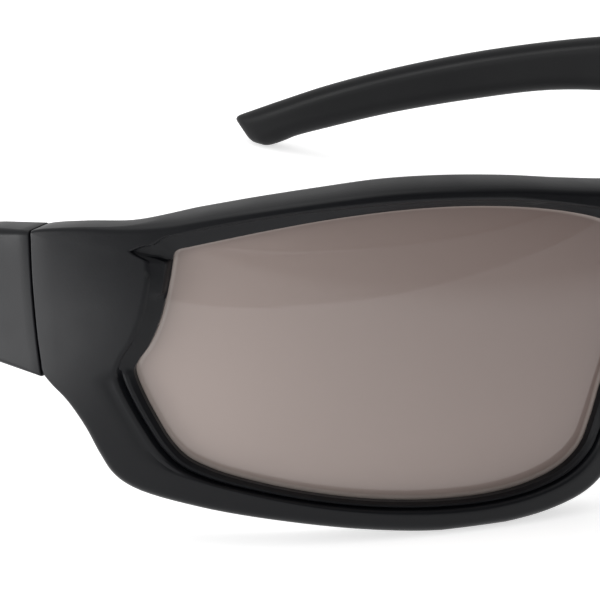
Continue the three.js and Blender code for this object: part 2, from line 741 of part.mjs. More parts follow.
function safetyGlasses() {
  const glasses = new THREE.Group();
  glasses.add(namedMesh('front_frame', frontFrameGeometry(), frameNylon));
  for (const [name, [geometry, material]] of Object.entries(leftSidePieces())) {
    glasses.add(namedMesh(`left_${name}`, geometry, material));
    glasses.add(namedMesh(`right_${name}`, mirrored(geometry), material));
  }
  const box = new THREE.Box3().setFromObject(glasses);
  glasses.position.y = -(box.min.y + box.max.y) / 2;
  return glasses;
}

export default safetyGlasses();
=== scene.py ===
import math

import bmesh
import bpy
from mathutils import Matrix, Vector


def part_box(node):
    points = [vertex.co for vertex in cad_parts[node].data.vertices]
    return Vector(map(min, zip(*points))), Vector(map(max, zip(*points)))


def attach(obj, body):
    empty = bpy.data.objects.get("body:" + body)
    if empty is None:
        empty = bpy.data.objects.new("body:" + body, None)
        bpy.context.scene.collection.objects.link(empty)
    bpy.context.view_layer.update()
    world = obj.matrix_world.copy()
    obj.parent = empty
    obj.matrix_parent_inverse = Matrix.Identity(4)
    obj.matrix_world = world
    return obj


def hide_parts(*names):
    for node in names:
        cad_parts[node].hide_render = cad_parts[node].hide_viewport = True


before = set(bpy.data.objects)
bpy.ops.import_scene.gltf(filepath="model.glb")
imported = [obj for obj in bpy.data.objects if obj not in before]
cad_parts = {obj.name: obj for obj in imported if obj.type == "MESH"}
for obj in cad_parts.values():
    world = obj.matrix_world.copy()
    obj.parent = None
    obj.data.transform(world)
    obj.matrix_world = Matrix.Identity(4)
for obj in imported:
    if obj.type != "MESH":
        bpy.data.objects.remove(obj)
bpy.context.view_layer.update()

# Shapes are worked out in plan millimetres and turned into metres at the end.
MM = 0.001
MERGE = 2e-6
MIRROR = Matrix.Diagonal((-1, 1, 1, 1))

# Plan path of the outer surface: an ellipse round the face, then the temple's own gentle curve.
WRAP_HALF_WIDTH = 73.5
WRAP_DEPTH = 58
ELLIPSE_END = 90
PATH_END = 214
PATH_STEP = 0.25
TEMPLE_HEADINGS = [(103, 8), (114, 1.5), (128, -4.5), (148, -9.5), (172, -13), (214, -14.5)]

# The front leans back above and below this height.
BOW_HEIGHT = 23.1
BOW_RADIUS = 95
BOW_FADE_END = 120

# Front section, in depth from the outer surface.
FRONT_THICKNESS = 5.8
RIM_BACK = 6
LENS_FRONT = 2.8
LENS_THICKNESS = 2
LENS_EDGE_COVER = 1
GAP = 0.3
BACK_ROUND = 1
LEAST_FLAT = 0.1
FLAT_BACK_START = 66
FLAT_BACK_END = 76

# Rim stations over the brow, down the hinge side and back along the bottom to the nose:
# lens opening u, z, bevel width, outline u, z, edge rounding.
RIM = [
    (7.2, 32.4, 1.6, 0, 36.9, 1.2),
    (8.4, 35.8, 1.8, 0, 40.8, 1.2),
    (10.6, 37.4, 1.7, 1.4, 40.9, 1.2),
    (13.5, 38.6, 1.3, 7, 41.5, 1.1),
    (18.5, 40, 1.1, 15.5, 42.8, 1),
    (25, 41.2, 1.05, 24, 44.1, 1),
    (33, 41.95, 1.05, 33, 44.9, 1),
    (41, 41.95, 1.2, 41.5, 45, 0.9),
    (49, 41.3, 1.5, 50, 44.3, 0.8),
    (56.5, 40.15, 1.8, 58, 43.3, 0.8),
    (63, 38.8, 2, 65, 42.1, 0.8),
    (66.6, 37.95, 2.1, 70, 41.1, 0.9),
    (68.2, 37.5, 2.2, 75, 40.2, 0.7),
    (68.75, 36.9, 2.5, 81.5, 39.5, 0.5),
    (68.9, 36.1, 2.6, 87.1, 38.5, 0.4),
    (69.05, 35.1, 2.4, 87.95, 38.1, 0.4),
    (69.25, 33.8, 2.1, 87.8, 37, 0.3),
    (69.7, 31.4, 2, 87.3, 32.6, 0.3),
    (70.5, 28.4, 1.9, 86.85, 29.2, 0.3),
    (71.9, 25.2, 1.8, 86.4, 25.6, 0.3),
    (73.3, 23.2, 1.7, 86, 22.4, 0.4),
    (73.75, 22.1, 1.6, 85.8, 20.6, 0.6),
    (73.5, 20.9, 1.5, 84.8, 19.3, 0.8),
    (72.4, 18.4, 1.4, 82.6, 17.3, 1),
    (70.9, 15.6, 1.3, 80.3, 14.1, 1.2),
    (69.3, 13, 1.2, 78.6, 10.8, 1.3),
    (67.3, 10.9, 1.1, 76.9, 8.2, 1.3),
    (64, 9.3, 1, 74.3, 6.5, 1.3),
    (58.5, 7.7, 0.8, 66, 4.5, 1.2),
    (50, 5.85, 0.7, 54, 2.5, 1.2),
    (41, 4.5, 0.6, 43, 0.9, 1.2),
    (33, 3.9, 0.6, 34, 0, 1.2),
    (26, 3.95, 0.6, 25, 0, 1.2),
    (20.5, 4.8, 0.7, 18, 0.9, 1.2),
    (16.4, 6.4, 0.8, 13.3, 2.5, 1.2),
    (14, 8.7, 0.9, 10.9, 4.6, 1.2),
    (12.8, 12, 1, 9, 8.8, 1.2),
    (11.6, 16.5, 1.1, 7.5, 14, 1.2),
    (10, 21.5, 1.2, 6, 19.5, 1.2),
    (8.5, 26, 1.3, 3.8, 24.6, 1.2),
    (7.5, 29.2, 1.4, 1.3, 27.7, 1.2),
    (7.1, 30.6, 1.5, 0, 28, 1.2),
    (7.05, 31.4, 1.5, 0, 31.6, 1.2),
]
RIM_STEPS = 6
BRIDGE_TOP = 40.8
BRIDGE_BOTTOM = 28
# Rows after which the outline runs straight to the next one, where it meets the middle of the bridge.
STRAIGHT_ROWS = (1, 40)
TANGENT_REACH = 0.4

# The chamfer round the lens as (share of the bevel width, depth): plain over the brow and hinge side, with
# a raised lip and a groove outside it below the hinge-side corner and along the bottom, and with a steep
# wall beside the lens's upper corner.
PLAIN_CHAMFER = [
    (0.03, 1.58), (0.12, 1.45), (0.35, 1.15), (0.6, 0.86), (0.85, 0.58), (0.96, 0.45), (1, 0.38)]
GROOVED_CHAMFER = [
    (0.04, 1.5), (0.14, 1.2), (0.35, 0.86), (0.6, 0.74), (0.8, 0.82), (0.93, 1.02), (1, 1.15)]
WALLED_CHAMFER = [
    (0.02, 2.32), (0.07, 1.95), (0.12, 1.5), (0.17, 1.05), (0.26, 0.76), (0.7, 0.54), (1, 0.38)]
# Stretches of rows as (start, full, fade, end).
WALL_ROWS = (13.6, 14, 16.7, 17)
GROOVE_ROWS = (20.7, 21.4, 36, 38)
CREASE_ROWS = (20.9, 22, 25, 27.5)
BROW_ROWS = (1, 4, 10, 12.5)
# The chamfer runs out to a point beside the upper corner of the lens.
WEDGE_PLACE = 13.5
WEDGE_SPREAD = 0.7
WEDGE_REACH = 2.4
# Over the brow the edge rounds further into the depth than it does in height.
BROW_SINK = 4.2
# Beyond the bevel as (offset in mm, depth): straight out to the surface, out of the groove, and out of the
# groove over a low ridge and a soft valley.
PLAIN_SHOULDER = [
    (0.06, 0.29), (0.13, 0.2), (0.22, 0.12), (0.34, 0.06), (0.48, 0.02), (0.64, 0), (0.8, 0), (1, 0)]
GROOVED_SHOULDER = [
    (0.1, 1.05), (0.22, 0.7), (0.34, 0.4), (0.5, 0.2), (0.66, 0.1), (0.82, 0.04), (1, 0.01), (1.2, 0)]
CREASED_SHOULDER = [
    (0.1, 1.05), (0.24, 0.66), (0.42, 0.34), (0.75, 0.2), (1.15, 0.19), (1.6, 0.27), (2.2, 0.12), (3, 0)]

# Seam between front and temple, as u at its lower end and the lean from there.
SEAM_BOTTOM = 20.3
SEAM_START = 85.75
SEAM_LEAN = 0.125
SEAM_GAP = 0.14
SEAM_TOP = 38.2
SEAM_LOWER_CORNER = 20
SEAM_THICKNESS = 5.8
SEAM_ROUND = 0.6
SEAM_EDGE = 0.2

# Temple side profile: top u, z, bottom u, z, thickness, edge rounding, from the hinge to the tip.
TEMPLE = [
    (94.6, 37.5, 91.5, 20.5, 5.4, 1),
    (100, 36.6, 98.5, 21, 4.9, 1.1),
    (110, 34.6, 110, 21.4, 4.2, 1.2),
    (124, 31.8, 124, 21.3, 3.6, 1.3),
    (136, 29, 136, 20.4, 3.5, 1.4),
    (150, 25.5, 150, 18.1, 3.7, 1.5),
    (165, 21.2, 165, 14, 3.9, 1.6),
    (180, 16.2, 180, 9.3, 4.2, 1.7),
    (193, 11.2, 192, 4.9, 4.5, 1.8),
    (200.5, 7.9, 198.4, 2.4, 4.6, 1.8),
    (204.9, 5.9, 201.6, 0.8, 4.5, 1.7),
    (207.7, 4.6, 203.8, 0, 4.2, 1.5),
    (209.4, 3.8, 205.9, 0, 3.6, 1.1),
    (210.3, 3.1, 208, 0.9, 2.4, 0.5),
]
TEMPLE_STEPS = 6
SLEEVE_ROW = 4
TANG_END_ROW = 7
SLEEVE_WALL = 0.8
SLEEVE_EDGE = 0.25

# Hinge: a vertical screw through three knuckles, the middle one on the temple.
HINGE_U = 89
HINGE_DEPTH = 8.2
HINGE_HEIGHTS = (23, 26.9, 27.2, 30.8, 31.1, 35)
KNUCKLE_RADIUS = 1.5
KNUCKLE_BORE = 0.95
HINGE_SCREW_RADIUS = 0.65
HINGE_HEAD_RADIUS = 1.3
HINGE_HEAD_HEIGHT = 1
FRONT_LEAF_U = 83
TEMPLE_LEAF_U = 95
LEAF_HALF_LENGTH = 3.8
LEAF_LIFT = 0.6
LEAF_THICKNESS = 1
LEAF_SCREW_HEIGHTS = {"lower": 26, "upper": 32}
LEAF_SCREW_OFFSET = 1.4
LEAF_SCREW_RADIUS = 0.6
LEAF_HEAD_RADIUS = 1.15
LEAF_HEAD_HEIGHT = 0.7
LEAF_SCREW_REACH = 2.8
LEAF_EDGE = 0.15
SLOT_WIDTH = 0.3
SLOT_DEPTH = 0.35

# Nose pad: an oval pad on a lug behind the nose side of each rim.
PAD_CENTRE = Vector((9.2, 11.4, 13.8))
PAD_DEPTH_AXIS = Vector((0.45, 0.89, 0)).normalized()
PAD_HEIGHT_AXIS = Vector((-0.22, 0.111, 0.97)).normalized()
PAD_OUTWARD = PAD_DEPTH_AXIS.cross(PAD_HEIGHT_AXIS).normalized()
PAD_UPRIGHT = PAD_OUTWARD.cross(PAD_DEPTH_AXIS)
PAD_HALF_HEIGHT = 8
PAD_HALF_DEPTH = 4.2
PAD_THICKNESS = 2.2
LUG_THICKNESS = 2
LUG_HALF_HEIGHT = 2.8
LUG_FRONT = -5.6
LUG_BACK = 0.8
PEG_RADIUS = 0.9
PEG_PLACE = -1.6
PEG_LENGTH = 1.6

UP = Vector((0, 0, 1))
ROUND_SEGMENTS = 32

CAMERA_PLACE = (-0.4355, -0.5426, 0.2315)
CAMERA_TARGET = (-0.04646, -0.06217, 0.03063)
CAMERA_LENS = 319.8
CAMERA_SENSOR = 36


# --- Camera ---

def make_camera():
    camera = bpy.data.objects.new("camera", bpy.data.cameras.new("camera"))
    camera.data.lens = CAMERA_LENS
    camera.data.sensor_width = CAMERA_SENSOR
    camera.location = CAMERA_PLACE
    camera.rotation_euler = (Vector(CAMERA_TARGET) - camera.location).to_track_quat("-Z", "Y").to_euler()
    bpy.context.scene.collection.objects.link(camera)
    bpy.context.scene.camera = camera


make_camera()


# --- Small maths ---

def lerp(a, b, share):
    return a + (b - a) * share


def smoothstep(value, low, high):
    share = min(1, max(0, (value - low) / (high - low)))
    return share * share * (3 - 2 * share)


def spline_row(rows, place, closed):
    """Centripetal Catmull-Rom through rows of three numbers, place counted in rows."""
    count = len(rows)
    index = math.floor(place) if closed else min(math.floor(place), count - 2)
    share = place - index
    if closed:
        before, start, end, after = (Vector(rows[(index + step) % count]) for step in (-1, 0, 1, 2))
    else:
        start, end = Vector(rows[index]), Vector(rows[index + 1])
        before = Vector(rows[index - 1]) if index > 0 else 2 * start - end
        after = Vector(rows[index + 2]) if index + 2 < count else 2 * end - start
    spans = ((before, start), (start, end), (end, after))
    first, middle, last = (math.sqrt((b - a).length) for a, b in spans)
    leave = ((start - before) / first - (end - before) / (first + middle) + (end - start) / middle) * middle
    arrive = ((end - start) / middle - (after - start) / (middle + last) + (after - end) / last) * middle
    square = share * share
    cube = square * share
    return (start * (2 * cube - 3 * square + 1) + end * (3 * square - 2 * cube)
            + leave * (cube - 2 * square + share) + arrive * (cube - square))


# --- The plan path ---

def ellipse_heading(angle):
    return math.atan2(WRAP_HALF_WIDTH * math.cos(angle), WRAP_DEPTH * math.sin(angle))


def ellipse_speed(angle):
    return math.hypot(WRAP_HALF_WIDTH * math.cos(angle), WRAP_DEPTH * math.sin(angle))


def temple_heading(u, start_heading):
    stops = [(ELLIPSE_END, start_heading)] + [(at, math.radians(turn)) for at, turn in TEMPLE_HEADINGS]
    for (low, heading), (high, following) in zip(stops, stops[1:]):
        if u <= high:
            return lerp(heading, following, (u - low) / (high - low))
    return stops[-1][1]


def make_path():
    path = []
    angle = x = y = 0
    heading = math.pi / 2
    ellipse_end = heading
    for step in range(int(PATH_END / PATH_STEP) + 1):
        u = step * PATH_STEP
        path.append((x, y, heading))
        if u < ELLIPSE_END:
            middle = angle + PATH_STEP / ellipse_speed(angle) / 2
            angle += PATH_STEP / ellipse_speed(middle)
            x = WRAP_HALF_WIDTH * math.sin(angle)
            y = WRAP_DEPTH * (1 - math.cos(angle))
            heading = ellipse_end = ellipse_heading(angle)
        else:
            middle = temple_heading(u + PATH_STEP / 2, ellipse_end)
            x += PATH_STEP * math.sin(middle)
            y += PATH_STEP * math.cos(middle)
            heading = temple_heading(u + PATH_STEP, ellipse_end)
    return path


PATH = make_path()


def path_at(u):
    place = min(max(u / PATH_STEP, 0), len(PATH) - 1.001)
    index = int(place)
    share = place - index
    return tuple(lerp(a, b, share) for a, b in zip(PATH[index], PATH[index + 1]))


def off_path(u, depth, z):
    x, y, heading = path_at(u)
    return Vector((x - math.cos(heading) * depth, y + math.sin(heading) * depth, z))


def bow(z):
    return (z - BOW_HEIGHT) ** 2 / (2 * BOW_RADIUS)


def on_front(at, depth):
    return off_path(at.x, depth + bow(at.y), at.y)


# --- Mesh building ---

HINGE_AXIS = off_path(HINGE_U, HINGE_DEPTH, 0)
hinge_low, hinge_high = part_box("left_hinge_screw")
SHIFT = Vector((0, (hinge_low.y + hinge_high.y) / 2 - HINGE_AXIS.y * MM, 0))


def to_metres(point):
    return point * MM + SHIFT


def new_piece(name, mesh, material, body, nodes, smooth_angle):
    mesh.materials.clear()
    mesh.materials.append(material)
    piece = bpy.data.objects.new(name, mesh)
    bpy.context.scene.collection.objects.link(piece)
    mesh.shade_smooth()
    mesh.set_sharp_from_angle(angle=math.radians(smooth_angle))
    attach(piece, body)
    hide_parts(*nodes)
    return piece


def clean_mesh(name, points, faces):
    """A closed mesh with doubled points joined, facing out, from points in plan millimetres."""
    mesh = bpy.data.meshes.new(name)
    mesh.from_pydata([to_metres(point) for point in points], [], faces)
    work = bmesh.new()
    work.from_mesh(mesh)
    bmesh.ops.remove_doubles(work, verts=work.verts, dist=MERGE)
    bmesh.ops.dissolve_degenerate(work, edges=work.edges, dist=MERGE)
    bmesh.ops.recalc_face_normals(work, faces=work.faces)
    work.to_mesh(mesh)
    work.free()
    return mesh


def mirrored_mesh(mesh, name):
    copy = mesh.copy()
    copy.name = name
    copy.transform(MIRROR)
    copy.flip_normals()
    return copy


def loft_faces(loops, size, closed):
    faces = []
    for i in range(loops if closed else loops - 1):
        following = (i + 1) % loops
        for k in range(size):
            after = (k + 1) % size
            faces.append((i * size + k, i * size + after, following * size + after, following * size + k))
    return faces


def lofted_mesh(name, loops):
    """A skin over loops of equal length, closed at both ends by a fan."""
    size = len(loops[0])
    points = [point for loop in loops for point in loop]
    faces = loft_faces(len(loops), size, False)
    for first, flip in ((0, False), ((len(loops) - 1) * size, True)):
        hub = len(points)
        points.append(sum(points[first:first + size], Vector()) / size)
        for k in range(size):
            face = (hub, first + (k + 1) % size, first + k)
            faces.append(face[::-1] if flip else face)
    return clean_mesh(name, points, faces)


def turned_mesh(name, start, direction, profile):
    """A profile of (radius, height) pairs turned round an axis."""
    turn = UP.rotation_difference(direction)
    loops = []
    for radius, height in profile:
        loops.append([
            start + turn @ Vector((radius * math.cos(a), radius * math.sin(a), height))
            for a in (2 * math.pi * k / ROUND_SEGMENTS for k in range(ROUND_SEGMENTS))])
    return lofted_mesh(name, loops)


def box_mesh(name, corner, sides):
    """A block from one corner along three side vectors."""
    points = [
        corner + sides[0] * i + sides[1] * j + sides[2] * k for i in (0, 1) for j in (0, 1) for k in (0, 1)]
    faces = [(0, 1, 3, 2), (4, 6, 7, 5), (0, 4, 5, 1), (2, 3, 7, 6), (0, 2, 6, 4), (1, 5, 7, 3)]
    return clean_mesh(name, points, faces)


def combined(mesh, others, operation):
    """The mesh after an exact boolean with each of the others."""
    scratch = bpy.data.objects.new("scratch", mesh)
    bpy.context.scene.collection.objects.link(scratch)
    cutters = []
    for index, other in enumerate(others):
        cutter = bpy.data.objects.new(f"cutter_{index}", other)
        bpy.context.scene.collection.objects.link(cutter)
        modifier = scratch.modifiers.new(f"cut_{index}", "BOOLEAN")
        modifier.operation = operation
        modifier.solver = "EXACT"
        modifier.object = cutter
        cutters.append(cutter)
    result = bpy.data.meshes.new_from_object(scratch.evaluated_get(bpy.context.evaluated_depsgraph_get()))
    for extra in [scratch] + cutters:
        bpy.data.objects.remove(extra)
    return result


def edge_softened(mesh, width, segments, angle):
    """The mesh with its edges sharper than an angle given a small round."""
    work = bmesh.new()
    work.from_mesh(mesh)
    sharp = [
        edge for edge in work.edges
        if len(edge.link_faces) == 2 and edge.calc_face_angle(0) > math.radians(angle)]
    bmesh.ops.bevel(
        work, geom=sharp, offset=width * MM, offset_type="OFFSET", segments=segments, profile=0.5,
        affect="EDGES", clamp_overlap=True)
    bmesh.ops.recalc_face_normals(work, faces=work.faces)
    work.to_mesh(mesh)
    work.free()
    return mesh


# --- Materials ---

def new_material(name):
    material = bpy.data.materials.new(name)
    material.use_nodes = True
    nodes = material.node_tree.nodes
    return material, nodes, material.node_tree.links, nodes["Principled BSDF"]


def object_point(nodes, links, stretch=(1, 1, 1)):
    coordinates = nodes.new("ShaderNodeTexCoord")
    mapping = nodes.new("ShaderNodeMapping")
    mapping.inputs["Scale"].default_value = stretch
    links.new(coordinates.outputs["Object"], mapping.inputs["Vector"])
    return mapping.outputs["Vector"]


def add_noise(nodes, links, point, scale, detail, roughness):
    texture = nodes.new("ShaderNodeTexNoise")
    texture.inputs["Scale"].default_value = scale
    texture.inputs["Detail"].default_value = detail
    texture.inputs["Roughness"].default_value = roughness
    links.new(point, texture.inputs["Vector"])
    return texture.outputs["Fac"]


def add_range(nodes, links, value, low, high, new_low, new_high):
    mapped = nodes.new("ShaderNodeMapRange")
    for name, number in (("From Min", low), ("From Max", high), ("To Min", new_low), ("To Max", new_high)):
        mapped.inputs[name].default_value = number
    links.new(value, mapped.inputs["Value"])
    return mapped.outputs["Result"]


def add_mix(nodes, links, factor, first, second):
    mixer = nodes.new("ShaderNodeMix")
    mixer.data_type = "RGBA"
    links.new(factor, mixer.inputs["Factor"])
    for socket, colour in ((6, first), (7, second)):
        if isinstance(colour, tuple):
            mixer.inputs[socket].default_value = (*colour, 1)
        else:
            links.new(colour, mixer.inputs[socket])
    return mixer.outputs[2]


def add_bump(nodes, links, height, strength, distance, below=None):
    bump = nodes.new("ShaderNodeBump")
    bump.inputs["Strength"].default_value = strength
    bump.inputs["Distance"].default_value = distance
    links.new(height, bump.inputs["Height"])
    if below:
        links.new(below, bump.inputs["Normal"])
    return bump.outputs["Normal"]


def worn_edges(nodes, links, low, high):
    """A mask that is 1 along the outward edges."""
    geometry = nodes.new("ShaderNodeNewGeometry")
    return add_range(nodes, links, geometry.outputs["Pointiness"], low, high, 0, 1)


def moulded_nylon():
    material, nodes, links, shader = new_material("moulded_nylon")
    point = object_point(nodes, links)
    cloud = add_noise(nodes, links, point, 60, 3, 0.5)
    grain = add_noise(nodes, links, point, 3800, 2, 0.6)
    ripple = add_noise(nodes, links, point, 260, 2, 0.5)
    tone = add_mix(nodes, links, cloud, (0.0036, 0.0039, 0.0052), (0.0052, 0.0056, 0.0072))
    worn = add_mix(nodes, links, worn_edges(nodes, links, 0.53, 0.62), tone, (0.013, 0.0132, 0.0143))
    links.new(worn, shader.inputs["Base Color"])
    links.new(add_range(nodes, links, ripple, 0.3, 0.7, 0.31, 0.37), shader.inputs["Roughness"])
    fine = add_bump(nodes, links, grain, 0.16, 0.00006)
    links.new(add_bump(nodes, links, ripple, 0.05, 0.0002, fine), shader.inputs["Normal"])
    shader.inputs["Specular IOR Level"].default_value = 0.2
    return material


def soft_rubber():
    material, nodes, links, shader = new_material("soft_rubber")
    point = object_point(nodes, links)
    cloud = add_noise(nodes, links, point, 90, 4, 0.55)
    grain = add_noise(nodes, links, point, 2600, 3, 0.7)
    tone = add_mix(nodes, links, cloud, (0.003, 0.0032, 0.0038), (0.0045, 0.0047, 0.0054))
    links.new(tone, shader.inputs["Base Color"])
    links.new(add_range(nodes, links, cloud, 0.3, 0.7, 0.4, 0.46), shader.inputs["Roughness"])
    links.new(add_bump(nodes, links, grain, 0.14, 0.00006), shader.inputs["Normal"])
    shader.inputs["Specular IOR Level"].default_value = 0.12
    return material


def hinge_steel():
    material, nodes, links, shader = new_material("hinge_steel")
    brushed = add_noise(nodes, links, object_point(nodes, links, (900, 900, 9000)), 1, 3, 0.6)
    blotch = add_noise(nodes, links, object_point(nodes, links), 420, 3, 0.6)
    tone = add_mix(nodes, links, blotch, (0.42, 0.43, 0.45), (0.6, 0.61, 0.63))
    links.new(tone, shader.inputs["Base Color"])
    links.new(add_range(nodes, links, brushed, 0.3, 0.7, 0.22, 0.4), shader.inputs["Roughness"])
    links.new(add_bump(nodes, links, brushed, 0.1, 0.00003), shader.inputs["Normal"])
    shader.inputs["Metallic"].default_value = 1
    return material


def smoke_lens():
    material, nodes, links, shader = new_material("smoke_lens")
    edge = nodes.new("ShaderNodeAttribute")
    edge.attribute_name = "painted_edge_highlight"
    painted_shade = nodes.new("ShaderNodeAttribute")
    painted_shade.attribute_name = "painted_lens_shade"
    # Painted shade: a lit and a shaded copy of the lens colour, mixed by the painted shade attribute.
    painted_shade_tint = add_mix(nodes, links, painted_shade.outputs["Fac"], (0.43, 0.355, 0.325), (0.19, 0.135, 0.12))
    haze = add_noise(nodes, links, object_point(nodes, links), 45, 3, 0.5)
    cloud = add_range(nodes, links, haze, 0.3, 0.7, 0, 0.1)
    clouded = add_mix(nodes, links, cloud, painted_shade_tint, (0.28, 0.23, 0.21))
    # Painted highlight: a lighter lens colour along the border just inside the opening, standing in for
    # light caught at the lens edge.
    with_painted_highlight = add_mix(nodes, links, edge.outputs["Fac"], clouded, (0.58, 0.5, 0.46))
    links.new(with_painted_highlight, shader.inputs["Base Color"])
    smear = add_noise(nodes, links, object_point(nodes, links), 150, 4, 0.6)
    links.new(add_range(nodes, links, smear, 0.35, 0.75, 0.015, 0.05), shader.inputs["Roughness"])
    shader.inputs["IOR"].default_value = 1.58
    shader.inputs["Transmission Weight"].default_value = 0.1
    return material


NYLON = moulded_nylon()
RUBBER = soft_rubber()
STEEL = hinge_steel()
LENS = smoke_lens()


# --- Front frame ---

def opening_row(place):
    row = spline_row([row[:3] for row in RIM], place, True)
    return Vector((max(0, row.x), max(0, row.y))), row.z


def outline_row(place):
    place %= len(RIM)
    index = int(place)
    rows = [row[3:] for row in RIM]
    if index in STRAIGHT_ROWS:
        row = Vector(rows[index]).lerp(Vector(rows[index + 1]), place - index)
    else:
        row = spline_row(rows, place, True)
    return Vector((max(0, row.x), max(0, row.y))), row.z


def outward(curve, place):
    along = curve(place + TANGENT_REACH)[0] - curve(place - TANGENT_REACH)[0]
    return Vector((-along.y, along.x)).normalized()


def back_depth(at, share):
    """Depth of the back face, share running from the outline to the lens; upright by the hinge."""
    upright = smoothstep(at.x, FLAT_BACK_START, FLAT_BACK_END)
    return lerp(FRONT_THICKNESS, RIM_BACK, share) - upright * bow(at.y)


def blended(first, second, share):
    return [(lerp(a, c, share), lerp(b, d, share)) for (a, b), (c, d) in zip(first, second)]


def stretch_share(place, stretch):
    """1 along a stretch of rows (start, full, fade, end), easing to 0 outside it."""
    start, full, fade, end = stretch
    return smoothstep(place, start, full) * (1 - smoothstep(place, fade, end))


def arc(count):
    """Shares (from the face, from the end) of a quarter round, ends left out."""
    turns = [math.pi / 2 * k / count for k in range(1, count)]
    return [(1 - math.cos(turn), 1 - math.sin(turn)) for turn in turns]


def rim_section(place):
    opening, bevel = opening_row(place)
    bevel += WEDGE_REACH * max(0, 1 - abs(place - WEDGE_PLACE) / WEDGE_SPREAD)
    outline, rounding = outline_row(place)
    from_lens = outward(opening_row, place)
    to_lens = -outward(outline_row, place)
    on_cut = outline.x < 1e-6

    def near_opening(offset):
        return opening + from_lens * offset

    def near_outline(offset):
        if on_cut:
            return Vector((0, min(max(outline.y, BRIDGE_BOTTOM + offset), BRIDGE_TOP - offset)))
        return outline + to_lens * offset

    groove = stretch_share(place, GROOVE_ROWS)
    chamfer = blended(PLAIN_CHAMFER, WALLED_CHAMFER, stretch_share(place, WALL_ROWS))
    chamfer = blended(chamfer, GROOVED_CHAMFER, groove)
    bevel_line = near_opening(bevel)
    front_edge = near_outline(rounding)
    reach = (front_edge - bevel_line).length
    shoulder = blended(PLAIN_SHOULDER, GROOVED_SHOULDER, groove)
    shoulder = blended(shoulder, CREASED_SHOULDER, stretch_share(place, CREASE_ROWS))
    fit = min(1, 0.9 * reach / shoulder[-1][0])
    points = [
        on_front(opening, LENS_FRONT - GAP),
        on_front(opening, chamfer[0][1] + 0.15),
        on_front(opening, chamfer[0][1] + 0.05)]
    for share, depth in chamfer:
        points.append(on_front(near_opening(bevel * share), depth))
    for offset, depth in shoulder:
        points.append(on_front(bevel_line.lerp(front_edge, offset * fit / reach), depth))
    last = bevel_line.lerp(front_edge, shoulder[-1][0] * fit / reach)
    for share in (0.2, 0.4, 0.6, 0.8, 1):
        points.append(on_front(last.lerp(front_edge, share), 0))
    wall = near_outline(0)
    wall_back = back_depth(wall, 0)
    brow = stretch_share(place, BROW_ROWS)
    sink = min(rounding * lerp(1, BROW_SINK, brow), wall_back - BACK_ROUND - LEAST_FLAT)
    for sunk, along in arc(6):
        points.append(on_front(near_outline(rounding * along), sink * sunk))
    points.append(on_front(wall, sink))
    points.append(on_front(wall, lerp(sink, wall_back - BACK_ROUND, 0.5)))
    points.append(on_front(wall, wall_back - BACK_ROUND))
    for sunk, along in arc(4)[::-1]:
        points.append(on_front(near_outline(BACK_ROUND * along), wall_back - BACK_ROUND * sunk))
    back_edge = near_outline(BACK_ROUND)
    for share in (0, 0.2, 0.4, 0.6, 0.8, 0.95, 1):
        at = back_edge.lerp(opening, share)
        points.append(on_front(at, back_depth(at, share)))
    slot_back = LENS_FRONT + LENS_THICKNESS + GAP
    slot_edge = near_opening(LENS_EDGE_COVER + GAP)
    points.append(on_front(opening, slot_back))
    points.append(on_front(slot_edge, slot_back))
    points.append(on_front(slot_edge, LENS_FRONT - GAP))
    return points


def rim_mesh():
    """The whole front: half a rim, left open on the plane x = 0, and its mirror image."""
    count = len(RIM) * RIM_STEPS
    loops = [rim_section(index / RIM_STEPS) for index in range(count)]
    size = len(loops[0])
    points = [point for loop in loops for point in loop]
    half = [
        face for face in loft_faces(count, size, True) if any(points[corner].x > 1e-4 for corner in face)]
    other = [Vector((-point.x, point.y, point.z)) for point in points]
    both = half + [tuple(corner + len(points) for corner in face[::-1]) for face in half]
    return clean_mesh("front_shell", points + other, both)


def on_pad(depthwise, upward, outward_step):
    return PAD_CENTRE + PAD_DEPTH_AXIS * depthwise + PAD_UPRIGHT * upward + PAD_OUTWARD * outward_step


def lug_mesh():
    corner = on_pad(LUG_FRONT, -LUG_HALF_HEIGHT, PAD_THICKNESS / 2 + GAP)
    length = PAD_DEPTH_AXIS * (LUG_BACK - LUG_FRONT)
    sides = (length, PAD_UPRIGHT * 2 * LUG_HALF_HEIGHT, PAD_OUTWARD * LUG_THICKNESS)
    return edge_softened(box_mesh("lug", corner, sides), 0.5, 3, 30)


def peg_mesh(radius, length):
    start = on_pad(PEG_PLACE, 0, PAD_THICKNESS / 4)
    return turned_mesh("peg", start, PAD_OUTWARD, [(radius, 0), (radius, length)])


def leaf_frame(u):
    """A leaf's seat on the back face, and the plan directions back along the path and inward."""
    heading = path_at(u)[2]
    back = Vector((math.sin(heading), math.cos(heading), 0))
    inward = Vector((-math.cos(heading), math.sin(heading), 0))
    return off_path(u, FRONT_THICKNESS, 0), back, inward


def on_leaf(leaf, along, lift, z):
    seat, back, inward = leaf
    return seat + back * along + inward * lift + UP * z


def leaf_screw_start(leaf, side, level):
    return on_leaf(leaf, side * LEAF_SCREW_OFFSET, -LEAF_SCREW_REACH, LEAF_SCREW_HEIGHTS[level])


def screw_hole(leaf, side, level):
    inward = leaf[2]
    start = leaf_screw_start(leaf, side, level) - inward * GAP
    radius = LEAF_SCREW_RADIUS + GAP
    return turned_mesh("hole", start, inward, [(radius, 0), (radius, LEAF_SCREW_REACH + GAP + LEAF_LIFT)])


def with_mirror(meshes):
    return meshes + [mirrored_mesh(mesh, mesh.name) for mesh in meshes]


FRONT_LEAF = leaf_frame(FRONT_LEAF_U)
TEMPLE_LEAF = leaf_frame(TEMPLE_LEAF_U)


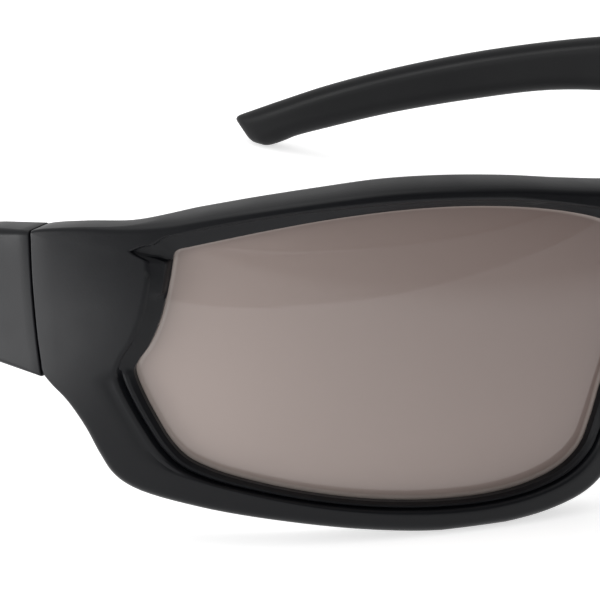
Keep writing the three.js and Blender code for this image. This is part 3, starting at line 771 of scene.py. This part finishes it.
def make_front():
    shell = combined(rim_mesh(), with_mirror([lug_mesh()]), "UNION")
    holes = [peg_mesh(PEG_RADIUS + GAP, PAD_THICKNESS / 4 + 2 * GAP + PEG_LENGTH)]
    holes += [screw_hole(FRONT_LEAF, -1, level) for level in LEAF_SCREW_HEIGHTS]
    shell = combined(shell, with_mirror(holes), "DIFFERENCE")
    piece = new_piece("front_shell", shell, NYLON, "front", ["front_frame"], 28)


# --- Lenses ---

LENS_CENTRE = Vector((40, 23))
LENS_RINGS = (0.06, 0.16, 0.28, 0.4, 0.52, 0.64, 0.76, 0.88, 1)
# Offsets of the rings near the edge from the opening, in mm, and how strongly each one carries the painted
# highlight.
LENS_BORDER = [(-0.6, 0), (-0.45, 0.3), (-0.28, 0.65), (-0.1, 0.85), (0.1, 0.85), (0.5, 0), (1, 0)]
LENS_STEPS = 4
# Painted shade: the lens colour darkens from the outer side inward and, less, from the bottom upward.
PAINTED_SHADE_OUTER = 62
PAINTED_SHADE_SPAN = 56
PAINTED_SHADE_BOTTOM = 4
PAINTED_SHADE_RISE = 38
PAINTED_SHADE_UPWARD = 0.35


def lens_loops():
    """Loops over the front, round the edge and over the back, and how strongly each one carries the painted
    highlight.
    """
    places = [index / LENS_STEPS for index in range(len(RIM) * LENS_STEPS)]
    borders = [
        ([opening_row(place)[0] + outward(opening_row, place) * offset for place in places], glow)
        for offset, glow in LENS_BORDER]
    inner = borders[0][0]
    rings = [([LENS_CENTRE.lerp(at, share) for at in inner], 0) for share in LENS_RINGS] + borders[1:]
    edge = rings[-1][0]
    depths = [(ring, LENS_FRONT, glow) for ring, glow in rings]
    depths.append((edge, LENS_FRONT + LENS_THICKNESS / 2, 0))
    depths += [(ring, LENS_FRONT + LENS_THICKNESS, 0) for ring, _ in rings[::-1]]
    loops = [[on_front(at, depth) for at in ring] for ring, depth, _ in depths]
    return loops, [glow for _, _, glow in depths]


def paint_lens(mesh, loops, painted_highlights):
    """Paints a highlight along the border just inside the opening, and the shade that darkens the lens
    inward and upward.
    """
    painted_highlight_at = {}
    for loop, glow in zip(loops, painted_highlights):
        for point in loop:
            painted_highlight_at[tuple(round(value, 6) for value in to_metres(point))] = glow
    glow = mesh.attributes.new("painted_edge_highlight", "FLOAT", "POINT")
    painted_shade = mesh.attributes.new("painted_lens_shade", "FLOAT", "POINT")
    for vertex in mesh.vertices:
        glow.data[vertex.index].value = painted_highlight_at.get(tuple(round(value, 6) for value in vertex.co), 0)
        # Painted shade, darker towards the nose side and, less, towards the top.
        inward = (PAINTED_SHADE_OUTER - abs(vertex.co.x) / MM) / PAINTED_SHADE_SPAN
        upward = (vertex.co.z / MM - PAINTED_SHADE_BOTTOM) / PAINTED_SHADE_RISE
        painted_shade.data[vertex.index].value = min(1, max(0, lerp(inward, upward, PAINTED_SHADE_UPWARD)))


def make_lenses():
    loops, painted_highlights = lens_loops()
    left = lofted_mesh("left_lens_shell", loops)
    paint_lens(left, loops, painted_highlights)
    for side, mesh in (("left", left), ("right", mirrored_mesh(left, "right_lens_shell"))):
        piece = new_piece(f"{side}_lens_shell", mesh, LENS, "front", [f"{side}_lens"], 40)


# --- Temples ---

def seam_u(z):
    return SEAM_START + SEAM_LEAN * (z - SEAM_BOTTOM)


def temple_point(u, depth, z, flatness):
    fade = 1 - smoothstep(u, ELLIPSE_END, BOW_FADE_END)
    return off_path(u, depth + bow(z) * fade * flatness, z)


def temple_loop(top, bottom, thickness, rounding, inset, seam_offset):
    """A rounded rectangle between (u, z) points; seam_offset places it that far behind the seam."""
    rounding = min(rounding, thickness / 2 - inset - 0.05)

    def at(depth, z):
        u = lerp(bottom.x, top.x, (z - bottom.y) / (top.y - bottom.y))
        if seam_offset is not None:
            u = seam_u(z) + seam_offset
        return temple_point(u, depth, z, 1 - min(1, max(0, depth / thickness)))

    def corner(depth, z, inward, upward):
        turns = [(0, 1)] + arc(5) + [(1, 0)]
        return [at(depth + inward * side * rounding, z + upward * end * rounding) for side, end in turns]

    def side(depth, start, end):
        return [at(depth, lerp(start, end, share)) for share in (0.2, 0.4, 0.6, 0.8)]

    outer, inner = inset, thickness - inset
    low, high = bottom.y + inset, top.y - inset
    down = side(inner, high - rounding, low + rounding)
    up = side(outer, low + rounding, high - rounding)
    return (
        corner(outer, high, 1, -1) + corner(inner, high, -1, -1)[::-1] + down
        + corner(inner, low, -1, 1) + corner(outer, low, 1, 1)[::-1] + up)


def temple_row(place, inset):
    top = spline_row([(row[0], row[1], row[4]) for row in TEMPLE], place, False)
    bottom = spline_row([(row[2], row[3], row[4]) for row in TEMPLE], place, False)
    index = min(int(place), len(TEMPLE) - 2)
    rounding = lerp(TEMPLE[index][5], TEMPLE[index + 1][5], place - index)
    low = Vector((bottom.x, max(0, bottom.y)))
    return temple_loop(Vector((top.x, top.y)), low, (top.z + bottom.z) / 2, rounding, inset, None)


def temple_rows(first, last, inset):
    count = round((last - first) * TEMPLE_STEPS)
    return [temple_row(first + step / TEMPLE_STEPS, inset) for step in range(count + 1)]


def seam_loop(inset, offset):
    top = Vector((seam_u(SEAM_TOP), SEAM_TOP))
    bottom = Vector((seam_u(SEAM_BOTTOM), SEAM_LOWER_CORNER))
    return temple_loop(top, bottom, SEAM_THICKNESS, SEAM_ROUND, inset, SEAM_GAP + offset)


def seam_lead():
    """Loops that round the arm's end at the seam and carry it to the first row."""
    ends = [seam_loop(SEAM_EDGE * (1 - math.sin(turn)), SEAM_EDGE * (1 - math.cos(turn)))
            for turn in (0, math.pi / 6, math.pi / 3, math.pi / 2)]
    first = temple_row(0, 0)
    return ends + [[a.lerp(b, share) for a, b in zip(ends[-1], first)] for share in (0.25, 0.5, 0.75)]


def arm_mesh():
    step = 1 / TEMPLE_STEPS
    loops = seam_lead() + temple_rows(0, SLEEVE_ROW - step, 0)
    loops += [temple_row(SLEEVE_ROW - 0.012, 0), temple_row(SLEEVE_ROW - 0.004, SLEEVE_EDGE * 0.3)]
    loops += [temple_row(SLEEVE_ROW, SLEEVE_EDGE)]
    loops += temple_rows(SLEEVE_ROW, TANG_END_ROW, SLEEVE_WALL + GAP)
    arm = lofted_mesh("arm", loops)
    holes = [screw_hole(TEMPLE_LEAF, 1, level) for level in LEAF_SCREW_HEIGHTS]
    return combined(arm, holes, "DIFFERENCE")


def tip_mesh():
    mouth = SLEEVE_ROW + 0.03
    loops = [temple_row(TANG_END_ROW + 0.05, SLEEVE_WALL)]
    loops += temple_rows(SLEEVE_ROW + 1, TANG_END_ROW, SLEEVE_WALL)[::-1]
    loops += [temple_row(mouth, SLEEVE_WALL), temple_row(mouth, SLEEVE_EDGE)]
    loops += [temple_row(mouth + 0.005, SLEEVE_EDGE * 0.3), temple_row(mouth + 0.018, 0)]
    loops += temple_rows(SLEEVE_ROW + 1 / TEMPLE_STEPS, len(TEMPLE) - 1, 0)
    return lofted_mesh("tip", loops)


def make_temples():
    parts = (
        ("temple_arm", arm_mesh(), NYLON, "frame_nylon"), ("temple_tip", tip_mesh(), RUBBER, "soft_rubber"))
    for name, left, material, finish in parts:
        for side, mesh in (("left", left), ("right", mirrored_mesh(left, name))):
            node = f"{side}_{name}"
            piece = new_piece(f"{node}_shell", mesh, material, f"{side}_temple", [node], 32)


# --- Nose pads ---

def pad_mesh():
    """A cushioned oval: full in the middle of its skin side, thin at its rim."""
    rings = 14
    around = 56
    loops = []
    for ring in range(rings + 1):
        turn = math.pi * ring / rings
        spread = math.sin(turn) ** 0.45 if 0 < ring < rings else 0.02
        lift = -math.copysign(abs(math.cos(turn)) ** 0.7, math.cos(turn)) * PAD_THICKNESS / 2
        loop = []
        for k in range(around):
            angle = 2 * math.pi * k / around
            depthwise = PAD_HALF_DEPTH * spread * math.cos(angle)
            upward = PAD_HALF_HEIGHT * spread * math.sin(angle)
            loop.append(on_pad(depthwise, upward, lift))
        loops.append(loop)
    return lofted_mesh("pad", loops)


def make_nose_pads():
    peg = peg_mesh(PEG_RADIUS, PAD_THICKNESS / 4 + GAP + PEG_LENGTH)
    left = combined(pad_mesh(), [peg], "UNION")
    for side, mesh in (("left", left), ("right", mirrored_mesh(left, "pad"))):
        piece = new_piece(f"{side}_nose_pad_soft", mesh, RUBBER, "front", [f"{side}_nose_pad"], 40)


# --- Hinges ---

def leaf_strip(leaf, start, end, bottom, top):
    _, back, inward = leaf
    corner = on_leaf(leaf, start, LEAF_LIFT, bottom)
    return box_mesh("strip", corner, (back * (end - start), inward * LEAF_THICKNESS, UP * (top - bottom)))


def leaf_mesh(leaf, side, knuckles):
    """A plate with its knuckles on the hinge axis, bored for the hinge screw and drilled for two screws."""
    seat, back, inward = leaf
    reach = (HINGE_AXIS - seat).dot(back)
    bottom, top = HINGE_HEIGHTS[0], HINGE_HEIGHTS[-1]
    plate = edge_softened(leaf_strip(leaf, -LEAF_HALF_LENGTH, LEAF_HALF_LENGTH, bottom, top), 0.5, 4, 30)
    for low, high in knuckles:
        barrel = turned_mesh("barrel", HINGE_AXIS + UP * low, UP, [
            (KNUCKLE_RADIUS - LEAF_EDGE, 0), (KNUCKLE_RADIUS, LEAF_EDGE),
            (KNUCKLE_RADIUS, high - low - LEAF_EDGE), (KNUCKLE_RADIUS - LEAF_EDGE, high - low)])
        neck = leaf_strip(leaf, min(reach, 0), max(reach, 0), low, high)
        plate = combined(plate, [neck, barrel], "UNION")
    bore = turned_mesh("bore", HINGE_AXIS + UP * (bottom - 1), UP, [
        (KNUCKLE_BORE, 0), (KNUCKLE_BORE, top - bottom + 2)])
    holes = [bore]
    for level in LEAF_SCREW_HEIGHTS:
        radius = LEAF_SCREW_RADIUS + GAP
        start = leaf_screw_start(leaf, side, level)
        holes.append(turned_mesh("hole", start, inward, [(radius, 0), (radius, 2 * LEAF_SCREW_REACH)]))
    return combined(plate, holes, "DIFFERENCE")


def screw_mesh(start, direction, radius, length, head_radius, head_height, slot_direction):
    """A round shank under a domed head with a driver slot across it."""
    dome = [
        (head_radius * math.cos(turn), length + head_height * (0.45 + 0.55 * math.sin(turn)))
        for turn in (math.radians(a) for a in (0, 15, 30, 45, 60, 75, 87))]
    profile = [(radius - 0.1, 0), (radius, 0.1), (radius, length), (head_radius - 0.08, length)]
    profile += [(head_radius, length + 0.08)] + dome
    screw = turned_mesh("screw", start, direction, profile)
    across = slot_direction.normalized()
    sideways = direction.cross(across)
    corner = start + direction * (length + head_height - SLOT_DEPTH)
    corner = corner - across * 2 * head_radius - sideways * SLOT_WIDTH / 2
    sides = (across * 4 * head_radius, sideways * SLOT_WIDTH, direction * head_height)
    return combined(screw, [box_mesh("slot", corner, sides)], "DIFFERENCE")


def hinge_pieces():
    """Name, mesh and place, front or temple, of each hinge piece on the left."""
    heights = HINGE_HEIGHTS
    yield "front_hinge_leaf", leaf_mesh(FRONT_LEAF, -1, [heights[0:2], heights[4:6]]), "front"
    yield "temple_hinge_leaf", leaf_mesh(TEMPLE_LEAF, 1, [heights[2:4]]), "temple"
    length = heights[-1] - heights[0] + GAP
    yield "hinge_screw", screw_mesh(
        HINGE_AXIS + UP * heights[0], UP, HINGE_SCREW_RADIUS, length, HINGE_HEAD_RADIUS, HINGE_HEAD_HEIGHT,
        Vector((1, 0.6, 0))), "front"
    for place, leaf, side in (("front", FRONT_LEAF, -1), ("temple", TEMPLE_LEAF, 1)):
        for level, tilt in (("lower", 0.5), ("upper", 2)):
            reach = LEAF_SCREW_REACH + LEAF_LIFT + LEAF_THICKNESS + GAP
            yield f"{place}_leaf_screw_{level}", screw_mesh(
                leaf_screw_start(leaf, side, level), leaf[2], LEAF_SCREW_RADIUS, reach, LEAF_HEAD_RADIUS,
                LEAF_HEAD_HEIGHT, UP + leaf[1] * tilt), place


def make_hinges():
    for name, left, place in hinge_pieces():
        for side, mesh in (("left", left), ("right", mirrored_mesh(left, name))):
            body = "front" if place == "front" else f"{side}_temple"
            piece = new_piece(f"{side}_{name}_metal", mesh, STEEL, body, [f"{side}_{name}"], 35)


make_front()
make_lenses()
make_temples()
make_nose_pads()
make_hinges()


# --- Floor, light and world ---

# The floor is lit from within as well as from above, so that the shadows on it stay faint.
FLOOR_GLOW = 0.65
FLOOR_HEIGHT = -0.0002
# Cards on the floor, out of sight, that darken or light the faces that look their way: name, near edge's
# middle, turn in degrees, width, length, fade, strength and glow.
CARDS = [
    ("far_flag", (-0.185, -0.185), -45, 12, 8, 0.004, 0.45, 0),
    ("front_flag", (0.08, -0.14), 30, 4, 6, 0.1, 0.5, 0),
    ("inner_flag", (0, 0.09), 0, 0.08, 0.13, 0.02, 0.8, 0),
    ("left_card", (-0.163, -0.081), 210, 0.18, 0.3, 0.03, 0.9, 5),
]


def floor_material():
    material, nodes, links, shader = new_material("pale_floor")
    mottle = add_noise(nodes, links, object_point(nodes, links), 3, 2, 0.5)
    tone = add_mix(nodes, links, mottle, (0.78, 0.78, 0.78), (0.82, 0.82, 0.82))
    links.new(tone, shader.inputs["Base Color"])
    shader.inputs["Roughness"].default_value = 0.9
    shader.inputs["Emission Color"].default_value = (1, 1, 1, 1)
    shader.inputs["Emission Strength"].default_value = FLOOR_GLOW
    return material


def card_material(name, fade, strength, glow):
    """Black or glowing card that thins out to nothing along its near edge."""
    material, nodes, links, shader = new_material(name)
    across = nodes.new("ShaderNodeSeparateXYZ")
    links.new(object_point(nodes, links), across.inputs["Vector"])
    shader.inputs["Base Color"].default_value = (0.01, 0.01, 0.01, 1)
    shader.inputs["Roughness"].default_value = 0.9
    shader.inputs["Emission Color"].default_value = (1, 1, 1, 1)
    shader.inputs["Emission Strength"].default_value = glow
    links.new(add_range(nodes, links, across.outputs["Y"], -fade, 0, strength, 0), shader.inputs["Alpha"])
    return material


def make_stage(name, corners, material, height):
    mesh = bpy.data.meshes.new(name)
    mesh.from_pydata([(x, y, 0) for x, y in corners], [], [(0, 1, 2, 3)])
    mesh.materials.append(material)
    sheet = bpy.data.objects.new(name, mesh)
    sheet.location.z = height
    bpy.context.scene.collection.objects.link(sheet)
    return sheet


def make_floor():
    make_stage("floor", [(-3, -3), (3, -3), (3, 3), (-3, 3)], floor_material(), FLOOR_HEIGHT)
    for index, (name, place, turn, width, length, fade, strength, glow) in enumerate(CARDS):
        corners = [(-width / 2, -length), (width / 2, -length), (width / 2, 0), (-width / 2, 0)]
        height = FLOOR_HEIGHT * (1 - (index + 1) / (len(CARDS) + 1))
        card = make_stage(name, corners, card_material(name, fade, strength, glow), height)
        card.location.x, card.location.y = place
        card.rotation_euler.z = math.radians(turn)
        card.visible_camera = False
        card.visible_diffuse = False
        card.visible_shadow = False


def add_light(name, place, target, size, power):
    light = bpy.data.lights.new(name, "AREA")
    light.shape = "RECTANGLE"
    light.size, light.size_y = size
    light.energy = power
    lamp = bpy.data.objects.new(name, light)
    lamp.location = place
    lamp.rotation_euler = (Vector(target) - Vector(place)).to_track_quat("-Z", "Y").to_euler()
    bpy.context.scene.collection.objects.link(lamp)


def make_light():
    world = bpy.context.scene.world or bpy.data.worlds.new("world")
    bpy.context.scene.world = world
    world.use_nodes = True
    nodes = world.node_tree.nodes
    links = world.node_tree.links
    coordinates = nodes.new("ShaderNodeTexCoord")
    facing = nodes.new("ShaderNodeVectorMath")
    facing.operation = "DOT_PRODUCT"
    facing.inputs[1].default_value = (-0.6, 0.75, 0.25)
    links.new(coordinates.outputs["Generated"], facing.inputs[0])
    glow = add_range(nodes, links, facing.outputs["Value"], -0.4, 0.7, 0.2, 1)
    links.new(glow, nodes["Background"].inputs["Strength"])
    nodes["Background"].inputs["Color"].default_value = (1, 1, 1, 1)
    add_light("top_softbox", (-0.05, 0.1, 0.8), (0, 0, 0), (0.6, 0.6), 1.2)
    add_light("left_softbox", (-0.9, 0.5, 0.09), (-0.07, -0.02, 0.02), (0.6, 0.16), 4)
    bpy.context.scene.view_settings.view_transform = "Standard"


make_floor()
make_light()
